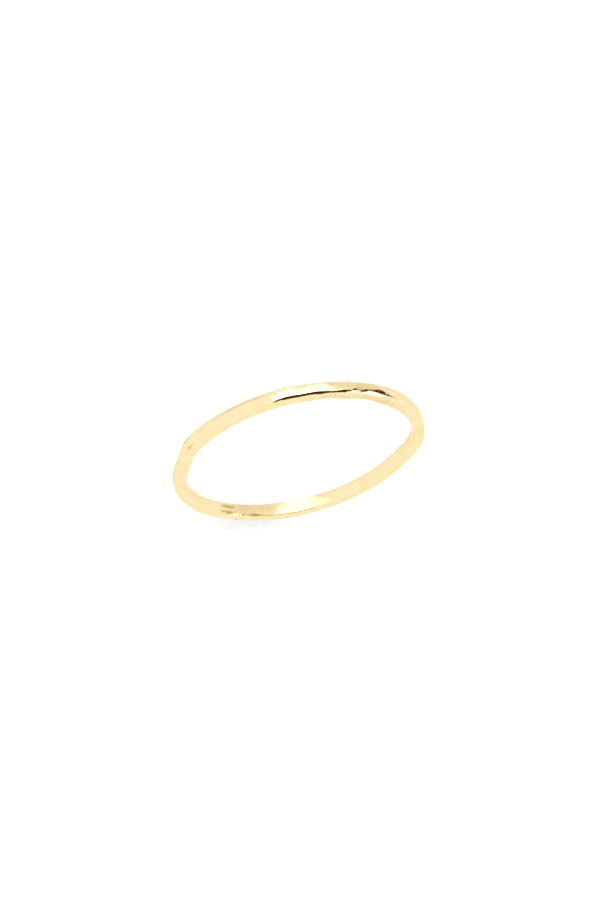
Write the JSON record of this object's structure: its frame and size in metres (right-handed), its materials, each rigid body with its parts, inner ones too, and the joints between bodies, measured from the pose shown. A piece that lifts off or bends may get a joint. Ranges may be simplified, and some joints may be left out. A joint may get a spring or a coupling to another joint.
{
  "type": "stackable ring",
  "caption": "Slim stacking finger ring: one polished pale-gold band with a softly squared, hand-planished section, lying on its side.",
  "frame": {"origin": "on the surface that the ring lies on, under the middle of the band", "axes": "+Z along the finger, up from the underside; +X and +Y lie across the ring, with +Y towards the side that the picture shows nearest"},
  "size_m": [0.0192, 0.0193, 0.0011],
  "materials": {
    "gold": "pale gold plate, mirror polished over light hammering"
  },
  "bodies": {
    "root": {"ring_band": "gold"}
  },
  "joints": []
}
